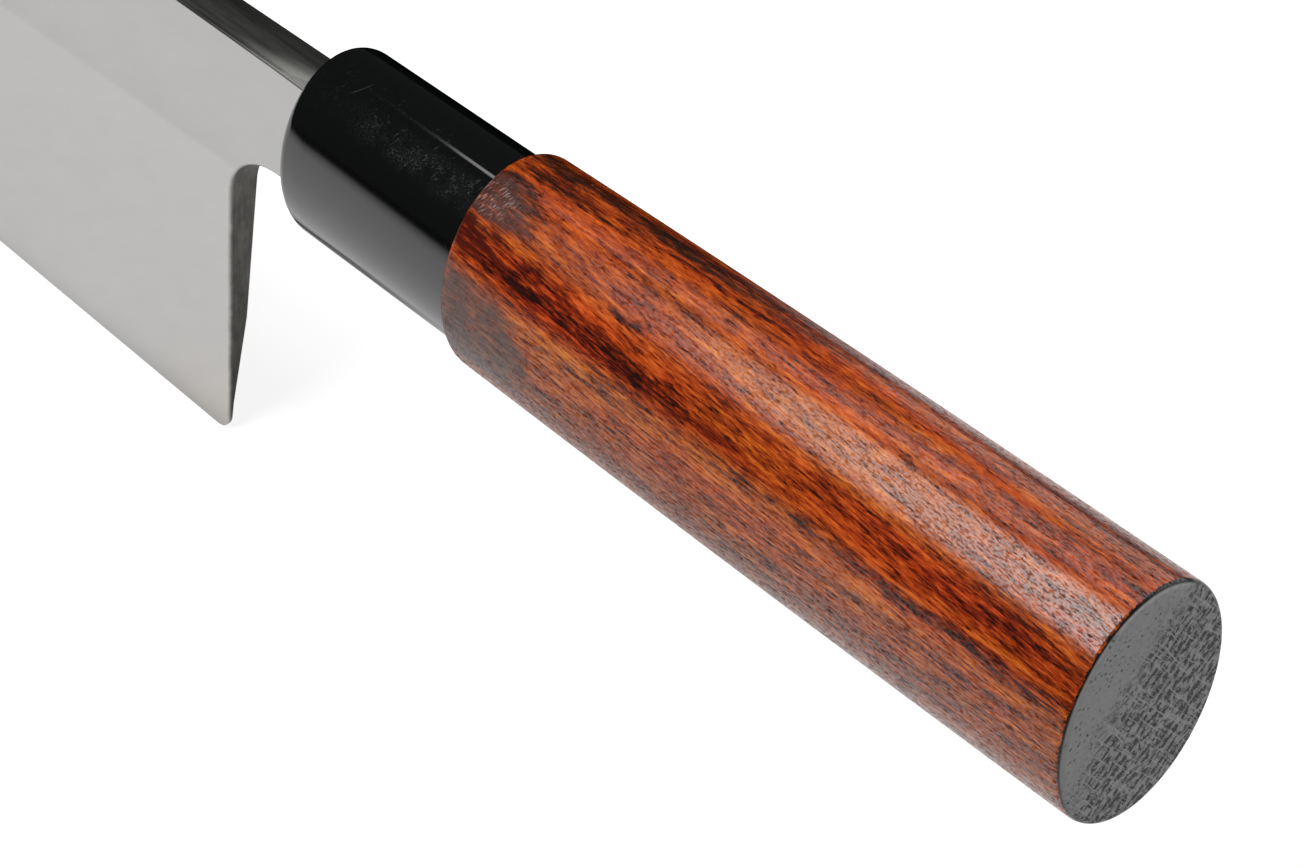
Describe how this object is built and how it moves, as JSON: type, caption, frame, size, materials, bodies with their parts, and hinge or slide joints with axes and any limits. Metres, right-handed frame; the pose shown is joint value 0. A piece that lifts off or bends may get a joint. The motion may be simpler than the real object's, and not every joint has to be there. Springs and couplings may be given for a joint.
{
  "type": "deba knife",
  "caption": "Single-bevel kitchen knife for fish: thick pointed steel blade, hidden tang, oval rosewood grip with a black ferrule and a sealed black end.",
  "frame": {"origin": "point on the flat left face of the blade where a magnetic rack holds it, 45 mm in front of the heel and level with the handle's axis", "axes": "+X from the butt to the tip, +Y out of the blade's flat left face, +Z from the cutting edge up to the spine"},
  "size_m": [0.3179, 0.0243, 0.072],
  "materials": {
    "steel": "satin, fine brushing along the blade",
    "ferrule_black": "polished black with fine scratches",
    "rosewood": "red-brown with near-black streaks, oiled and lightly polished",
    "seal_black": "matte black sealing coat with the end grain's pores showing",
    "tang_cement": "dull cement, hidden",
    "mouth_resin": "smooth dark resin"
  },
  "bodies": {
    "root": {"blade": "steel", "ferrule": "ferrule_black", "grip": "rosewood", "end_seal": "seal_black", "tang_cement": "tang_cement", "mouth_resin": "mouth_resin"}
  },
  "joints": []
}
